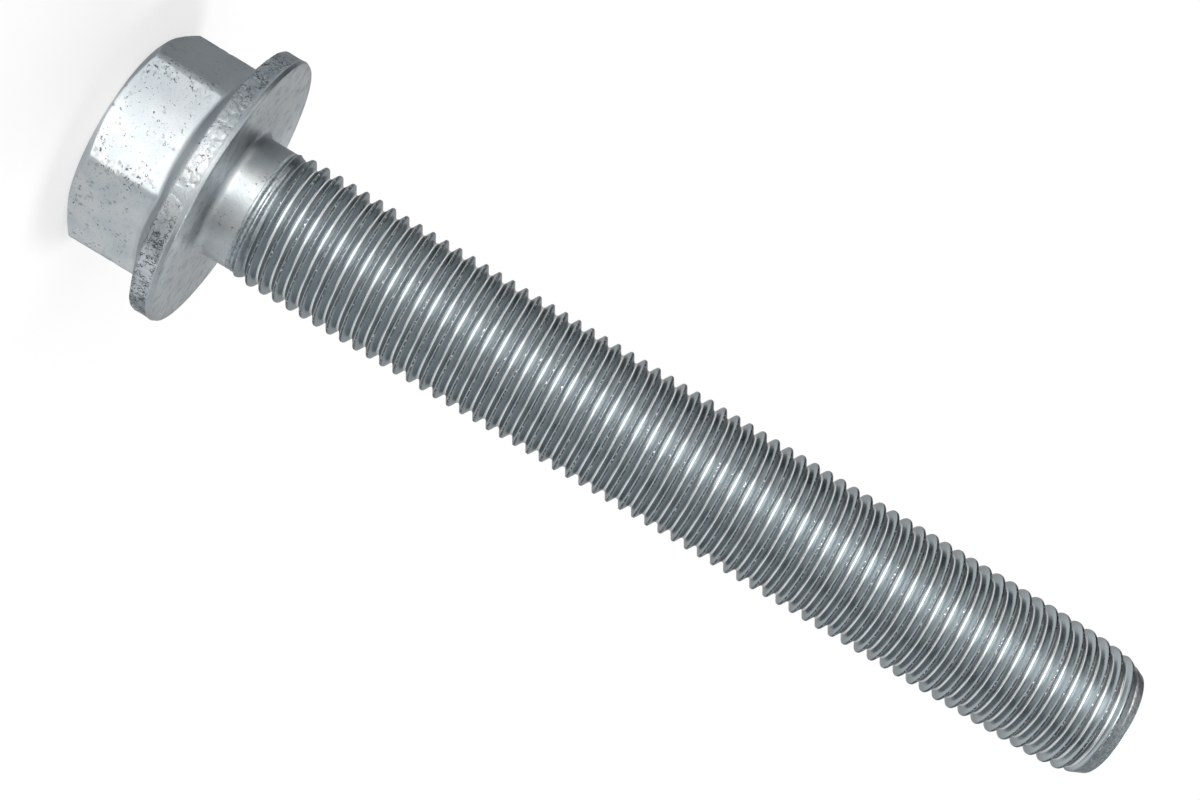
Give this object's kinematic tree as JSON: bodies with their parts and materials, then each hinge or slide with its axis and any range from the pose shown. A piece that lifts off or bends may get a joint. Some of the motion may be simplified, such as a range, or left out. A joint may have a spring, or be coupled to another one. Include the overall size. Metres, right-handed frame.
{
  "type": "flange bolt",
  "caption": "Steel hex bolt with a wide round flange under its head and a thread that runs almost the whole length of its shank.",
  "frame": {"origin": "centre of the bearing face under the flange, from which the bolt's length is measured", "axes": "+Z along the shank towards the tip, +X square to one flat of the hexagon"},
  "size_m": [0.0292, 0.0292, 0.1121],
  "materials": {
    "zinc_plated_steel": "bright bluish zinc plate, pitted and scuffed on the hexagon and the rim, smooth on the neck and the thread"
  },
  "bodies": {
    "root": {"flange_bolt": "zinc_plated_steel"}
  },
  "joints": []
}
